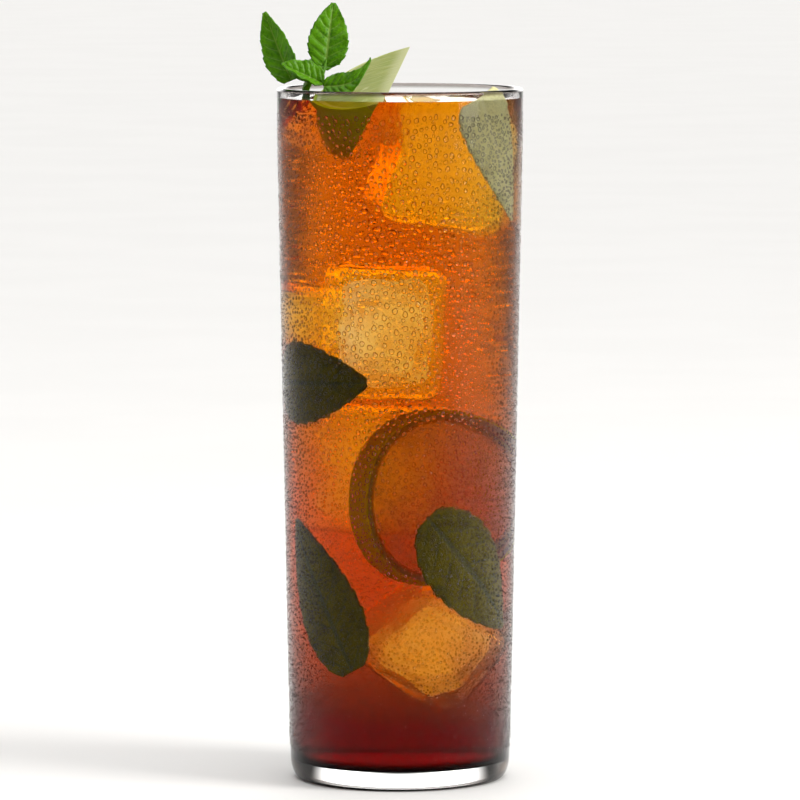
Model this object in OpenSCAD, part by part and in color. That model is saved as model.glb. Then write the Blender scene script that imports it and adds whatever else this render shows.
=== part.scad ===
// Iced cocktail in a tall straight glass, with lime, mint and ice.
// Millimetres. The origin is the centre of the flat underside, +Z is up, the front faces -Y.

/* [Glass] */
// Height of the glass
glass_height = 174.5; // [140:0.5:210]
// Outer diameter at the rim
rim_diameter = 62; // [60:0.5:78]
// Outer diameter just above the rounded foot
foot_diameter = 55.6; // [53:0.2:70]
// Thickness of the wall
wall = 1.6; // [1.2:0.1:2.4]
// Thickness of the solid bottom
bottom_thickness = 4.8; // [3:0.1:10]
// How far in the rounding of the foot reaches
foot_round_in = 2.4; // [1:0.1:4]
// How far up the rounding of the foot reaches
foot_round_up = 6; // [3:0.1:9]
// Radius in the corner of the cavity
cavity_round = 3; // [1:0.1:5]

/* [Drink] */
// Empty space between the drink and the rim
headspace = 4.3; // [4.2:0.1:12]

/* [Lime wedge] */
// Length of the wedge, from tip to tip
lime_length = 43.5; // [34:0.5:52]
// Diameter of the whole fruit
lime_diameter = 44; // [36:0.5:50]
// Angle between the two cut faces
lime_angle = 45; // [30:1:60]
// Radius of the trimmed ends
lime_end = 2.4; // [0.8:0.1:4]
// How far the sunk tip lies below the rim
lime_drop = 5; // [2:0.1:10]
// Distance of the sunk tip from the wall
lime_clearance = 4.8; // [1:0.1:10]

/* [Ice cube at the top] */
// Width of the cube
ice_width = 24; // [18:0.5:29]
// Depth of the cube
ice_depth = 24; // [18:0.5:29]
// Height of the cube
ice_height = 31; // [20:0.5:38]
// Radius of its melted edges
ice_round = 3.5; // [2:0.1:6]
// Gap between the cube's upper left edge and the lime
ice_clearance = 0.8; // [0.5:0.1:5]
// How far that edge stands above the drink
ice_rise = 2.8; // [1:0.1:8]

/* [Mint leaf on the wall] */
// Length of the leaf
side_leaf_length = 36; // [24:0.5:50]
// Width of the leaf
side_leaf_width = 18; // [10:0.5:26]
// Thickness of the leaf
side_leaf_thickness = 0.5; // [0.4:0.05:1]
// How far below the rim its stalk end lies
side_leaf_drop = 0.8; // [0.4:0.1:5]

/* [Mint sprig] */
// Diameter of the stem
stem_diameter = 2; // [1.4:0.1:3]
// Distance of the stem from the wall
stem_clearance = 2.4; // [1:0.1:5]
// How deep the stem stands in the drink
stem_sunk = 8; // [3:0.5:20]
// Height of the top of the stem above the rim
stem_rise = 2.8; // [2:0.1:8]
// Thickness of the leaves at the midrib
leaf_thickness = 0.6; // [0.4:0.05:1]

/* [Hidden] */
$fn = 96;

arc_steps = 8;
overshoot = 2;
drink_level = glass_height - headspace;

// The sprig's leaves: foot from the top of the stem, direction, upper side, length, width,
// fold of the halves, bend in the leaf's plane, bend out of it
LEAVES = [
    [[1.2, 2.2, 2.2], [1.9, 2.4, 16], [0, -16, 2], 17.2, 10.8, 8, -0.01, -0.05],
    [[-7, 1.6, -1.4], [-7.4, 1, 17.6], [-6, -15, -2], 19.6, 9.6, 24, 0.02, -0.08],
    [[0.8, -2.4, -1.6], [-9.8, -1.5, 4.1], [0, -7, 7], 12.2, 8.2, 32, 0.0, 0.08],
    [[0.6, -4.2, -2.2], [12.2, -1.6, 0.2], [0, -14, 5], 12.4, 6.8, 6, 0.62, 0.04],
    [[0.2, 4.6, 1.2], [2, 12, 3.6], [0, -3, 12], 14, 8.6, 16, 0.02, -0.12],
];
LEAF_STATIONS = 12;
LEAF_ACROSS = [-1, -0.5, 0, 0.5, 1];
LEAF_BASE_POWER = 0.5;
LEAF_TIP_POWER = 0.9;
LEAF_EDGE = 0.5;
LEAF_TEETH = 8;
TOOTH_DEPTH = 0.06;

function unit(v) = v / norm(v);

// Turns X to lie along one direction with Z as near as it can be to another
function turned(along, up) =
    let (x = unit(along), y = unit(cross(up, x)), z = cross(x, y))
    [[x[0], y[0], z[0], 0], [x[1], y[1], z[1], 0], [x[2], y[2], z[2], 0], [0, 0, 0, 1]];

// A place at a bearing from the front, turning to the right, at a distance from the axis
function around(bearing, distance, z) = [distance * sin(bearing), -distance * cos(bearing), z];

// Radius of the glass's outside and inside at a height above the foot's rounding
function outer_radius(z) =
    let (foot = foot_diameter / 2, rim = rim_diameter / 2)
    foot + (rim - foot) * (z - foot_round_up) / (glass_height - foot_round_up);
function inner_radius(z) = outer_radius(z) - wall;

// Half outline of the cavity, from its middle up to a height
function cavity_outline(top) =
    let (corner = bottom_thickness + cavity_round, side = inner_radius(corner) - cavity_round)
    concat(
        [[0, bottom_thickness]],
        [for (i = [0 : arc_steps])
            let (a = 90 * i / arc_steps)
            [side + cavity_round * sin(a), corner - cavity_round * cos(a)]],
        [[inner_radius(top), top]]
    );

// Glass

module glass_outline() {
    lip = wall / 2;
    foot = foot_diameter / 2 - foot_round_in;
    polygon(concat(
        [[0, 0]],
        [for (i = [0 : arc_steps])
            let (a = 90 * i / arc_steps)
            [foot + foot_round_in * sin(a), foot_round_up * (1 - cos(a))]],
        [for (i = [0 : arc_steps])
            let (a = 180 * i / arc_steps)
            [outer_radius(glass_height - lip) - lip + lip * cos(a), glass_height - lip + lip * sin(a)]],
        [for (i = [arc_steps + 1 : -1 : 0]) cavity_outline(glass_height - lip)[i]]
    ));
}

module glass() {
    color("aliceblue", 0.35) rotate_extrude() glass_outline();
}

// Lime wedge: a turned slice of the fruit, whose core runs from a sunk tip at the front left up
// to the other tip above the rim

LIME_BEARING = -12;
LIME_CORE = [8.5, 40, 15];
LIME_FACE = [-95, 28, -27];
LIME_SHAPE = 0.86;
lime_tip = around(
    LIME_BEARING,
    inner_radius(glass_height - lime_drop) - lime_clearance,
    glass_height - lime_drop
);

module lime_outline() {
    first = asin(lime_end / (lime_diameter / 2));
    polygon(concat(
        [[0, -lime_length / 2]],
        [for (i = [0 : 2 * arc_steps])
            let (a = first + (180 - 2 * first) * i / (2 * arc_steps))
            [lime_diameter / 2 * pow(sin(a), LIME_SHAPE), -lime_length / 2 * cos(a) / cos(first)]],
        [[0, lime_length / 2]]
    ));
}

module lime_wedge() {
    color("yellowgreen")
        translate(lime_tip)
        multmatrix(turned(LIME_FACE, -LIME_CORE))
        translate([0, 0, -lime_length / 2])
        rotate_extrude(angle = lime_angle)
        lime_outline();
}

// Ice cube that stands out of the drink: its upper left edge lies beside the lime's core

ICE_TURN = [5, 14, 10];
ICE_BACK = 6;
ICE_MARGIN = 3.2;
ice_x = lime_tip[0] + (ICE_BACK - lime_tip[1]) * LIME_CORE[0] / LIME_CORE[1] + ice_clearance;
// A cube too large for the room beside the lime is cut down to it
ice_room = inner_radius(drink_level) - ice_x - ICE_MARGIN;
ice_size = [min(ice_width, ice_room), min(ice_depth, ice_room), ice_height];

module rounded_block(size, round) {
    hull()
        for (x = [-1, 1], y = [-1, 1], z = [-1, 1])
            translate([x * (size[0] / 2 - round), y * (size[1] / 2 - round), z * (size[2] / 2 - round)])
                sphere(round, $fn = 16);
}

module ice_cube_top() {
    color("seashell")
        translate([ice_x, ICE_BACK - overshoot, drink_level + ice_rise])
        rotate(ICE_TURN)
        translate([ice_size[0] / 2, 0, -ice_size[2] / 2])
        rounded_block(ice_size, ice_round);
}

// Mint leaf that clings to the inside of the wall, from the rim down to the right

SIDE_LEAF_BEARING = 52;
SIDE_LEAF_LEAN = 24;
SIDE_LEAF_SHIFT = -5.6;
SIDE_LEAF_BASE_POWER = 0.2;

function leaf_profile(s, base) =
    let (peak = base / (base + LEAF_TIP_POWER))
    pow(s / peak, base) * pow((1 - s) / (1 - peak), LEAF_TIP_POWER);

// Half width of a leaf, as a share of the most, with the steps of its toothed edge
function toothed(s, base) =
    let (step = s * LEAF_TEETH - floor(s * LEAF_TEETH))
    leaf_profile(s, base) * (1 - TOOTH_DEPTH * step);

module side_leaf_outline() {
    count = 3 * LEAF_TEETH;
    shares = [for (i = [1 : count - 1]) i / count];
    polygon(concat(
        [[0, 0]],
        [for (s = shares) [side_leaf_width / 2 * toothed(s, SIDE_LEAF_BASE_POWER), -side_leaf_length * s]],
        [[0, -side_leaf_length]],
        [for (i = [len(shares) - 1 : -1 : 0])
            [-side_leaf_width / 2 * toothed(shares[i], SIDE_LEAF_BASE_POWER), -side_leaf_length * shares[i]]]
    ));
}

// Everything within reach of the wall, from some way inside its face to some way behind it
module wall_skin(inside, behind) {
    top = glass_height;
    rotate_extrude()
        polygon([
            [inner_radius(0) - inside, 0],
            [inner_radius(0) + behind, 0],
            [inner_radius(top) + behind, top],
            [inner_radius(top) - inside, top],
        ]);
}

module side_leaf(behind) {
    intersection() {
        wall_skin(side_leaf_thickness, behind);
        rotate([0, 0, SIDE_LEAF_BEARING])
            translate([SIDE_LEAF_SHIFT, 0, glass_height - side_leaf_drop])
            rotate([90, 0, 0])
            rotate([0, 0, SIDE_LEAF_LEAN])
            linear_extrude(height = rim_diameter)
            side_leaf_outline();
    }
}

module mint_leaf_side() {
    color("darkseagreen") side_leaf(0);
}

// Mint sprig: a short stem with five leaves, standing behind the lime and leaning over the rim

STEM_BEARING = [-78, -100, -112];
STEM_INSET = 9;
STEM_BOW = 1.8;
stem_top = around(STEM_BEARING[0], inner_radius(glass_height) - STEM_INSET, glass_height + stem_rise);
stem_reach = inner_radius(drink_level) - stem_clearance - stem_diameter / 2;
stem_points = [
    stem_top,
    around(STEM_BEARING[1], stem_reach - 3, glass_height + STEM_BOW),
    around(STEM_BEARING[2], stem_reach, drink_level + stem_diameter),
    around(STEM_BEARING[2], stem_reach, drink_level - stem_sunk),
];

module rod(from, to, start, end) {
    hull() {
        translate(from) sphere(start / 2, $fn = 12);
        translate(to) sphere(end / 2, $fn = 12);
    }
}

module stem() {
    for (i = [0 : len(stem_points) - 2])
        rod(stem_points[i], stem_points[i + 1], stem_diameter, stem_diameter);
}

// The straight lower end of the stem, which stands in the drink
module stem_end() {
    translate(stem_points[3]) {
        cylinder(h = stem_sunk + overshoot, d = stem_diameter);
        sphere(d = stem_diameter);
    }
}

// A point of a leaf: s runs from its foot to its tip, v from one edge to the other
function leaf_point(s, v, side, leaf) =
    let (
        length = leaf[3],
        half = leaf[4] / 2 * toothed(s, LEAF_BASE_POWER) * abs(v),
        fold = leaf[5],
        thick = leaf_thickness * (1 - LEAF_EDGE * abs(v)) / 2
    )
    [
        length * s,
        length * leaf[6] * pow(s, 4) + sign(v) * half * cos(fold),
        length * leaf[7] * pow(s, 2) + half * sin(fold) + side * thick,
    ];

module leaf_blade(leaf) {
    n = 2 * len(LEAF_ACROSS);
    last = LEAF_STATIONS - 1;
    points = [
        for (i = [0 : last])
            let (s = 0.03 + 0.95 * i / last)
            each concat(
                [for (v = LEAF_ACROSS) leaf_point(s, v, 1, leaf)],
                [for (k = [len(LEAF_ACROSS) - 1 : -1 : 0]) leaf_point(s, LEAF_ACROSS[k], -1, leaf)]
            )
    ];
    skin = [
        for (i = [0 : last - 1], j = [0 : n - 1])
            let (a = i * n + j, b = i * n + (j + 1) % n)
            each [[a, b, b + n], [a, b + n, a + n]]
    ];
    foot = [for (j = [0 : n / 2 - 2]) each [[j, n - 1 - j, n - 2 - j], [j, n - 2 - j, j + 1]]];
    tip = [for (f = foot) [f[0] + last * n, f[2] + last * n, f[1] + last * n]];
    polyhedron(points = points, faces = concat(skin, foot, tip));
}

module mint_sprig() {
    color("forestgreen") {
        stem();
        for (leaf = LEAVES) {
            along = unit(leaf[1]);
            rod(stem_top, stem_top + leaf[0] + along * leaf[3] / 8, stem_diameter * 0.8, stem_diameter / 2);
            translate(stem_top + leaf[0])
                multmatrix(turned(leaf[1], leaf[2]))
                leaf_blade(leaf);
        }
    }
}

// Drink: fills the cavity up to its level, cut round all that stands in it

module drink() {
    color("chocolate", 0.8)
        difference() {
            rotate_extrude() polygon(concat(cavity_outline(drink_level), [[0, drink_level]]));
            lime_wedge();
            ice_cube_top();
            side_leaf(overshoot);
            stem_end();
        }
}

glass();
drink();
lime_wedge();
ice_cube_top();
mint_leaf_side();
mint_sprig();
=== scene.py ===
"""Iced cocktail in a tall straight glass, with lime, mint, ice and dew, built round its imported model."""

import math

import bpy
import numpy as np
from bpy.props import (
    FloatProperty,
    FloatVectorProperty,
    IntProperty,
    PointerProperty,
)
from bpy.types import Operator, Panel, PropertyGroup
from mathutils import Euler, Matrix, Vector


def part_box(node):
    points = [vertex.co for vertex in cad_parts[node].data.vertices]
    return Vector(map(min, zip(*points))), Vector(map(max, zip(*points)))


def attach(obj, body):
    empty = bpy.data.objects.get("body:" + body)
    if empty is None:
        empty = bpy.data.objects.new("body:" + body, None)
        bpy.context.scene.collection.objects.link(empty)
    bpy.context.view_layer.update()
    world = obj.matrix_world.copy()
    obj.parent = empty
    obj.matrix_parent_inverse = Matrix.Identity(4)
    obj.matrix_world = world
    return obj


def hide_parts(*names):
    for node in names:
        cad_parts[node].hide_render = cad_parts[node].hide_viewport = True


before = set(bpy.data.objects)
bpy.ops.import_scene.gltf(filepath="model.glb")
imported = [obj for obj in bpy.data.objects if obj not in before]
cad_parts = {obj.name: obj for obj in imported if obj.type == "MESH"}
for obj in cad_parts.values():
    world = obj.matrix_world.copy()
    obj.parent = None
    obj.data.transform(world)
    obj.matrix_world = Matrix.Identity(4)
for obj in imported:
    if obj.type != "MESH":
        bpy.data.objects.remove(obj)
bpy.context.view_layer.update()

bl_info = {
    "name": "Iced Cocktail",
    "version": (1, 0, 0),
    "blender": (4, 5, 0),
    "location": "View3D > Sidebar > Cocktail",
    "description": "Builds a filled highball glass with lime, mint, ice and dew",
    "category": "Object",
}

MM = 0.001
GLASS_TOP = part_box("glass")[1]
RIM = GLASS_TOP.x
HEIGHT = GLASS_TOP.z
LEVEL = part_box("drink")[1].z
FOOT_UP = 6 * MM
AROUND = 192
WHITE = (1.0, 1.0, 1.0)


def length(name, text, millimetres):
    """A size that the user can change."""
    return FloatProperty(name=name, description=text, default=millimetres * MM, unit="LENGTH", precision=5)


def share(name, text, value, high=1.0):
    return FloatProperty(name=name, description=text, default=value, min=0.0, max=high)


def colour(name, text, value):
    return FloatVectorProperty(
        name=name, description=text, default=value, size=3, min=0.0, max=1.0, subtype="COLOR"
    )


# Sizes and colours


class GlassSizes(PropertyGroup):
    wall: length("Wall", "Thickness of the wall", 1.6)
    bottom: length("Bottom", "Thickness of the solid bottom", 4.8)
    foot: length("Foot radius", "Outer radius just above the rounded foot", 27.8)
    foot_in: length("Foot rounding in", "How far in the rounding of the foot reaches", 2.4)
    corner: length("Corner", "Radius in the corner of the cavity", 3.0)
    tint: colour("Tint", "Colour of the glass", (0.985, 0.992, 0.988))
    mist: share("Mist", "Depth of the fine mist's ripples in thousandths", 0.016)
    gleam: share("Gleam", "Strength of the glass's own reflections", 0.07)
    # Shade is painted shade: the glass is darkened towards it where it is seen edge on, at the foot and
    # along the lip, for the dark reflections there
    shade: colour("Shade", "What thick glass seen along its wall looks like", (0.11, 0.06, 0.035))


class DrinkLook(PropertyGroup):
    rise: length("Meniscus", "How far the drink climbs the wall", 1.9)
    spread: length("Meniscus spread", "How far from the wall the surface still curves", 2.2)
    reach: length("Reach", "How far the drink reaches into the wall", 0.12)
    gleam: share("Gleam", "Reflection left where the drink wets the glass", 0.08)
    passes: colour("Body colour", "What the body of the drink lets through", (0.967, 0.826, 0.08))
    density: FloatProperty(name="Density", description="Strength of the body colour", default=240.0, min=0.0)
    # Upper, middle and lower colours are painted shade on the drink's skin: white at the top, darkening
    # through red to near black at the foot, as the light falls off low in the glass
    high: colour("Upper colour", "Tint of the diluted upper part", (1.0, 1.0, 1.0))
    mid: colour("Middle colour", "Tint of the middle", (0.62, 0.13, 0.06))
    low: colour("Lower colour", "Tint of the strong lower part", (0.022, 0.0, 0.0))


class IceLook(PropertyGroup):
    rounding: length("Rounding", "Radius of the melted edges", 3.5)
    melt: length("Melt", "Depth of the hollows in the melted faces", 1.1)
    lap: length("Lap", "How far the ice reaches into the drink", 0.05)
    cloud: colour("Cloud", "Colour of the trapped air", (0.93, 0.9, 0.86))
    # Upper and lower glow are painted light: the cloudy cores emit them as though lit from within
    glow: colour("Upper glow", "Light scattered in the upper cubes", (0.98, 0.74, 0.62))
    low_glow: colour("Lower glow", "Light scattered in the lowest cube", (0.98, 0.55, 0.3))
    haze: share("Haze", "How much of the cloudy middle is opaque", 0.46)


class LimeLook(PropertyGroup):
    wedge_length: length("Wedge length", "Length of the wedge, from tip to tip", 43.5)
    wedge_radius: length("Wedge radius", "Radius of the whole fruit of the wedge", 22.0)
    wedge_end: length("Trimmed end", "Radius of the trimmed ends", 2.4)
    wheel_radius: length("Wheel radius", "Radius of the sunk wheel", 22.3)
    wheel_thickness: length("Wheel thickness", "Thickness of the sunk wheel", 5.6)
    rind: colour("Rind", "Colour of the rind", (0.55, 0.66, 0.02))
    pith: colour("Pith", "Colour of the pith", (0.58, 0.6, 0.28))
    flesh: colour("Flesh", "Colour of the flesh", (0.4, 0.43, 0.1))
    juice: colour("Juice", "Colour of the wettest flesh", (0.31, 0.37, 0.06))
    oil: colour("Oil spots", "Colour of the spots on the rind", (0.42, 0.5, 0.04))
    sunk_rind: colour("Sunk rind", "Colour of the wheel's rind", (0.9, 1.0, 0.05))
    sunk_dark: colour("Sunk flesh, dark", "Darker streaks of the wheel's flesh", (0.66, 0.42, 0.12))
    sunk_light: colour("Sunk flesh, light", "Lighter streaks of the wheel's flesh", (0.86, 0.66, 0.3))


class MintLook(PropertyGroup):
    thickness: length("Thickness", "Thickness of a leaf", 0.34)
    quilt: length("Quilting", "Height of the bulges between the veins", 0.42)
    face: colour("Upper side", "Colour of a leaf's upper side", (0.13, 0.37, 0.001))
    # Hollows colours, here and for the sunk and side leaves, are partly random mottle and partly painted
    # shade: they fall where the leaf's fine bump sinks
    mottle_and_shade: colour("Hollows", "Colour of the leaf beside its veins", (0.045, 0.17, 0.002))
    vein: colour("Veins", "Colour of the veins", (0.3, 0.5, 0.08))
    sunk_face: colour("Sunk leaf", "Colour of a leaf in the drink", (0.24, 0.19, 0.004))
    sunk_mottle_and_shade: colour("Sunk hollows", "Colour beside its veins", (0.085, 0.075, 0.003))
    sunk_vein: colour("Sunk veins", "Colour of its veins", (0.15, 0.15, 0.03))
    # The side leaf's colours carry painted light: they are pale for the haze that the dew in front scatters
    # over the leaf
    side_face: colour("Side leaf", "Colour of the leaf against the wall", (0.88, 0.86, 0.5))
    side_mottle_and_shade: colour("Side hollows", "Colour beside its veins", (0.55, 0.53, 0.25))
    side_vein: colour("Side veins", "Colour of its veins", (0.92, 0.9, 0.6))


class DewLook(PropertyGroup):
    clear_top: length("Dry rim", "Height of the dry band below the rim", 6.0)
    clear_foot: length("Dry foot", "Height of the dry band above the foot", 8.0)
    biggest: length("Biggest", "Radius of the biggest drops", 0.78)
    seed: IntProperty(name="Seed", description="Which scatter of drops", default=11)
    # Edge is painted shade: each drop darkens towards it where it is seen edge on, a dark rim standing in
    # for the dark surroundings its edge refracts
    edge: colour("Edge", "Colour of a drop seen at its edge", (0.03, 0.015, 0.01))


class StageLook(PropertyGroup):
    distance: length("Distance", "From the camera to the axis", 1450)
    eye: length("Eye height", "Height of the camera", 232.5)
    aim: length("Aim", "Height that the camera looks at", 95.7)
    lens: FloatProperty(name="Lens", description="Focal length in millimetres", default=259.713)
    floor: colour("Floor", "Colour of the floor", (0.9, 0.895, 0.885))
    key: FloatProperty(name="Key light", description="Watts of the soft light at the right", default=17.0)


# Shader nodes written as sums


class Wire:
    """A shader value that adds and multiplies as a number does."""

    def __init__(self, finish, socket):
        self.finish = finish
        self.socket = socket

    def maths(self, kind, *terms):
        node = self.finish.node("ShaderNodeMath", {"operation": kind}, dict(enumerate(terms)))
        return Wire(self.finish, node.outputs[0])

    def __add__(self, other):
        return self.maths("ADD", self, other)

    def __radd__(self, other):
        return self.maths("ADD", other, self)

    def __sub__(self, other):
        return self.maths("SUBTRACT", self, other)

    def __rsub__(self, other):
        return self.maths("SUBTRACT", other, self)

    def __mul__(self, other):
        return self.maths("MULTIPLY", self, other)

    def __rmul__(self, other):
        return self.maths("MULTIPLY", other, self)

    def __truediv__(self, other):
        return self.maths("DIVIDE", self, other)

    def __rtruediv__(self, other):
        return self.maths("DIVIDE", other, self)

    def __pow__(self, other):
        return self.maths("POWER", self, other)

    def __abs__(self):
        return self.maths("ABSOLUTE", self)

    def part(self):
        """What is left after the whole number."""
        return self.maths("FRACT", self)

    def most(self, other):
        """The larger of two values."""
        return self.maths("MAXIMUM", self, other)

    def least(self, other):
        """The smaller of two values."""
        return self.maths("MINIMUM", self, other)

    def step(self, low, high):
        """0 below low, 1 above high and smooth between; low may be the greater."""
        node = self.finish.node(
            "ShaderNodeMapRange",
            {"interpolation_type": "SMOOTHSTEP"},
            {"Value": self, "From Min": low, "From Max": high},
        )
        return Wire(self.finish, node.outputs[0])

    def split(self):
        node = self.finish.node("ShaderNodeSeparateXYZ", {}, {0: self})
        return [Wire(self.finish, node.outputs[i]) for i in range(3)]


class Finish:
    """A node tree that is filled in with short calls."""

    def __init__(self, owner):
        owner.use_nodes = True
        self.owner = owner
        self.tree = owner.node_tree
        self.tree.nodes.clear()

    def node(self, kind, settings, values):
        made = self.tree.nodes.new(kind)
        for key, value in settings.items():
            setattr(made, key, value)
        for key, value in values.items():
            if isinstance(value, Wire):
                self.tree.links.new(value.socket, made.inputs[key])
            elif value is not None:
                made.inputs[key].default_value = value
        return made

    def wire(self, kind, settings, values, output=0):
        return Wire(self, self.node(kind, settings, values).outputs[output])

    def place(self):
        return self.wire("ShaderNodeTexCoord", {}, {}, "Object")

    def grown(self):
        """The piece's own coordinates, from before it was put in place."""
        return self.wire("ShaderNodeAttribute", {"attribute_name": "grown"}, {}, "Vector")

    def facing(self):
        """0 where a surface is seen square on, 1 where it is seen edge on."""
        return self.wire("ShaderNodeLayerWeight", {}, {"Blend": 0.5}, "Facing")

    def stretch(self, where, scale):
        return self.wire("ShaderNodeVectorMath", {"operation": "MULTIPLY"}, {0: where, 1: scale})

    def noise(self, where, scale, detail=3.0, rough=0.5, warp=0.0):
        values = {"Vector": where, "Scale": scale, "Detail": detail, "Roughness": rough, "Distortion": warp}
        return self.wire("ShaderNodeTexNoise", {}, values)

    def cells(self, where, scale):
        return self.wire("ShaderNodeTexVoronoi", {"feature": "F1"}, {"Vector": where, "Scale": scale})

    def blend(self, amount, first, second):
        """A colour between two colours."""
        first, second = (c if isinstance(c, Wire) else (*c[:3], 1.0) for c in (first, second))
        values = {0: amount, 6: first, 7: second}
        return self.wire("ShaderNodeMix", {"data_type": "RGBA"}, values, 2)

    def bump(self, height, depth, strength=1.0, below=None):
        values = {"Height": height, "Distance": depth, "Strength": strength, "Normal": below}
        return self.wire("ShaderNodeBump", {}, values)

    def principled(self, values):
        return self.wire("ShaderNodeBsdfPrincipled", {}, values)

    def mixed(self, amount, first, second):
        return self.wire("ShaderNodeMixShader", {}, {0: amount, 1: first, 2: second})

    def done(self, surface, volume=None):
        self.node("ShaderNodeOutputMaterial", {}, {"Surface": surface, "Volume": volume})
        return self.owner


def new_finish(name):
    return Finish(bpy.data.materials.new(name))


def solid(rgb):
    return (*rgb[:3], 1.0)


def grey(level):
    return (level, level, level, 1.0)


# Tools for making meshes


def deselect():
    if bpy.context.object and bpy.context.object.mode != "OBJECT":
        bpy.ops.object.mode_set(mode="OBJECT")
    bpy.ops.object.select_all(action="DESELECT")


def pick(*pieces):
    """Selects these pieces only, the last of them active."""
    deselect()
    for piece in pieces:
        piece.select_set(True)
        bpy.context.view_layer.objects.active = piece


def named(name):
    piece = bpy.context.object
    piece.name = piece.data.name = name
    return piece


def apply_place(piece):
    pick(piece)
    bpy.ops.object.transform_apply(location=True, rotation=True, scale=True)


def put(piece, matrix):
    """Turns and moves a piece's mesh, and leaves its object at the origin."""
    piece.matrix_world = matrix
    apply_place(piece)


def modifier(piece, kind, **settings):
    """Adds a modifier, sets it and applies it."""
    pick(piece)
    bpy.ops.object.modifier_add(type=kind)
    made = piece.modifiers[-1]
    for key, value in settings.items():
        setattr(made, key, value)
    bpy.ops.object.modifier_apply(modifier=made.name)


def all_selected(piece):
    pick(piece)
    bpy.ops.object.mode_set(mode="EDIT")
    bpy.ops.mesh.select_all(action="SELECT")


def draw_line(name, points):
    """A chain of edges through the points, drawn by extruding one vertex; stays in edit mode."""
    points = [Vector(p) for p in points]
    deselect()
    bpy.ops.mesh.primitive_plane_add(size=MM, location=points[0])
    piece = named(name)
    apply_place(piece)
    all_selected(piece)
    bpy.ops.mesh.merge(type="CENTER")
    for here, there in zip(points, points[1:]):
        bpy.ops.mesh.extrude_region_move(TRANSFORM_OT_translate={"value": there - here})
    bpy.ops.mesh.select_all(action="SELECT")
    return piece


def close_up(piece):
    """Merges what lies together and turns the faces outwards."""
    all_selected(piece)
    bpy.ops.mesh.remove_doubles(threshold=0.002 * MM)
    bpy.ops.mesh.normals_make_consistent(inside=False)
    bpy.ops.object.mode_set(mode="OBJECT")
    bpy.ops.object.shade_smooth()


def lathe(name, outline, steps=AROUND, angle=math.tau):
    """Spins a half outline of (radius, height) pairs round the upright axis."""
    piece = draw_line(name, [(r, 0, z) for r, z in outline])
    bpy.ops.mesh.spin(steps=steps, angle=angle, center=(0, 0, 0), axis=(0, 0, 1))
    close_up(piece)
    return piece


def arc(centre, radii, start, end, steps):
    """Points of an arc, as (radius, height) pairs."""
    turns = [math.radians(start + (end - start) * i / steps) for i in range(steps + 1)]
    return [(centre[0] + radii[0] * math.cos(t), centre[1] + radii[1] * math.sin(t)) for t in turns]


def points_of(piece):
    """A piece's vertices, one row each."""
    co = np.empty(len(piece.data.vertices) * 3)
    piece.data.vertices.foreach_get("co", co)
    return co.reshape(-1, 3)


def move_points(piece, co):
    piece.data.vertices.foreach_set("co", np.asarray(co, float).ravel())
    piece.data.update()


def keep_grown(piece):
    """Keeps each vertex's place in the piece's own coordinates, for its finish."""
    kept = piece.data.attributes.new("grown", "FLOAT_VECTOR", "POINT")
    kept.data.foreach_set("vector", points_of(piece).astype(np.float32).ravel())


def settle(piece, slot, finish, *nodes):
    """Gives a finished piece its finish, hangs it on the root body and hides the imported nodes that it
    replaces.
    """
    piece.data.materials.clear()
    piece.data.materials.append(finish)
    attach(piece, "root")
    if nodes:
        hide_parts(*nodes)
    return piece


def turned(along, up):
    """Turns X to lie along one direction with Z as near as it can be to another."""
    x = Vector(along).normalized()
    y = Vector(up).cross(x).normalized()
    z = x.cross(y)
    return Matrix((x, y, z)).transposed().to_4x4()


def around(bearing, distance, height):
    """A place at a bearing in degrees from the front, turning to the right."""
    turn = math.radians(bearing)
    return Vector((distance * math.sin(turn), -distance * math.cos(turn), height))


def outer_radius(z):
    foot = bpy.context.scene.cocktail_glass.foot
    return foot + (RIM - foot) * (z - FOOT_UP) / (HEIGHT - FOOT_UP)


def inner_radius(z):
    return outer_radius(z) - bpy.context.scene.cocktail_glass.wall


def cavity(sizes, reach, top):
    """Half outline of the cavity, from its middle up to a height, grown by a reach."""
    start = sizes.bottom + sizes.corner
    side = inner_radius(start) - sizes.corner
    round_by = sizes.corner + reach
    corner = arc((side, start), (round_by, round_by), -90, 0, 14)
    wall = [(inner_radius(z) + reach, z) for z in np.linspace(start, top, 14)[1:]]
    return [(0, sizes.bottom - reach), *corner, *wall]


# Glass


def glass_outline(sizes):
    """Foot, outside, rim and inside of the glass, from the axis round to the axis."""
    lip = sizes.wall / 2
    flat = sizes.foot - sizes.foot_in
    foot = arc((flat, FOOT_UP), (sizes.foot_in, FOOT_UP), -90, 0, 18)
    wall = [(outer_radius(z), z) for z in np.linspace(FOOT_UP, HEIGHT - lip, 14)[1:-1]]
    rim = arc((outer_radius(HEIGHT - lip) - lip, HEIGHT - lip), (lip, lip), 0, 180, 16)
    inside = cavity(sizes, 0, HEIGHT - lip)[::-1][1:]
    return [(0, 0), *foot, *wall, *rim, *inside]


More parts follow.
